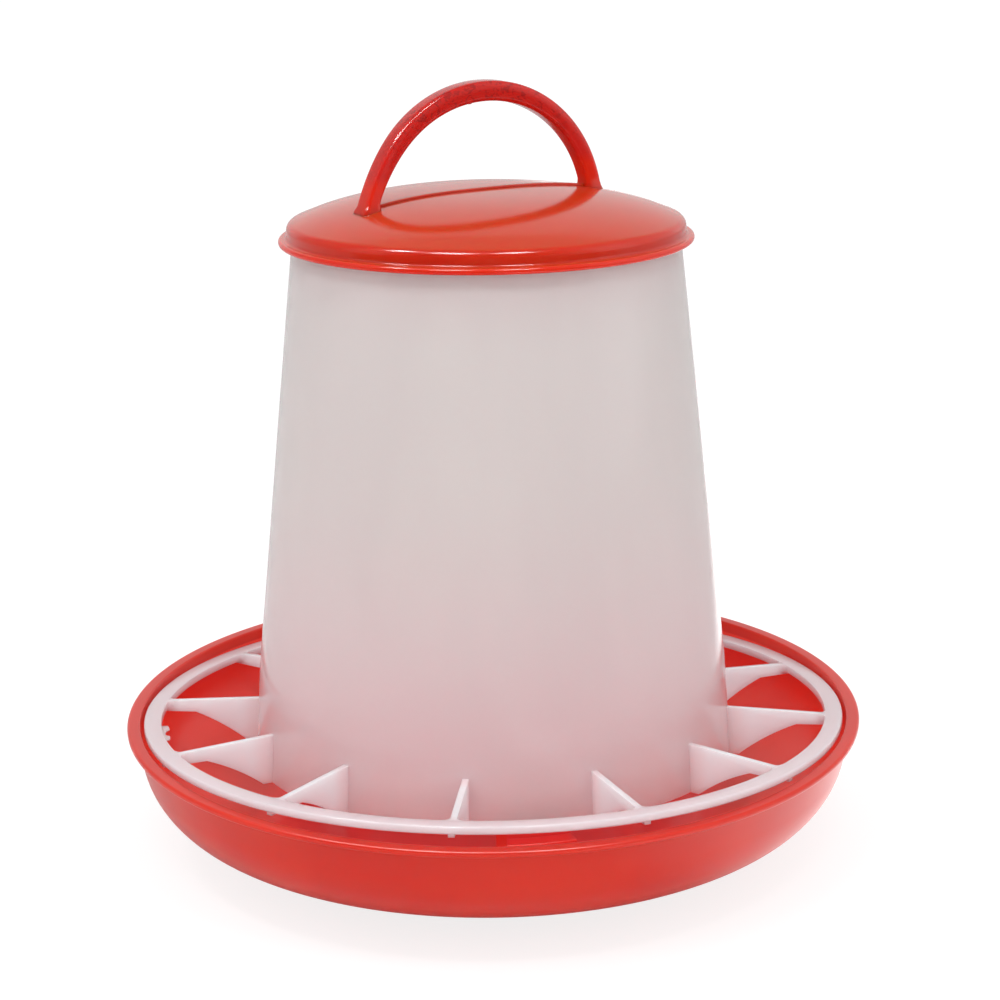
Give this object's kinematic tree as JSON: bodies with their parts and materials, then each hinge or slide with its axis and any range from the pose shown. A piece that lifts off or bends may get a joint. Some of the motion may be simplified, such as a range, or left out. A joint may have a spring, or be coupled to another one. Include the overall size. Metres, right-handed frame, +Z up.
{
  "type": "poultry feeder",
  "caption": "Round poultry feeder: a tapered hopper with a finned grille ring, standing in a wide feed pan, under a domed twist-off lid with an arched carrying handle.",
  "frame": {"origin": "centre of the pan's underside, on the surface that the feeder stands on", "axes": "+Z up, +Y towards the back, so that the picture's view looks along +Y from the front"},
  "size_m": [0.28, 0.28, 0.291],
  "materials": {
    "red_plastic": "glossy orange-red injection moulding",
    "milky_plastic": "glossy milky translucent injection moulding"
  },
  "bodies": {
    "pan": {"pan": "red_plastic"},
    "hopper": {"hopper": "milky_plastic"},
    "lid": {"lid": "red_plastic"}
  },
  "joints": [
    {"name": "hopper_turn", "type": "hinge", "parent": "pan", "child": "hopper", "pos_m": [0, 0, 0.0509], "axis": [0, 0, 1], "range_deg": [0, 20]},
    {"name": "lid_lift", "type": "slide", "parent": "hopper", "child": "lid", "axis": [0, 0.0489, 0.9988], "range_m": [0, 0.07]}
  ]
}
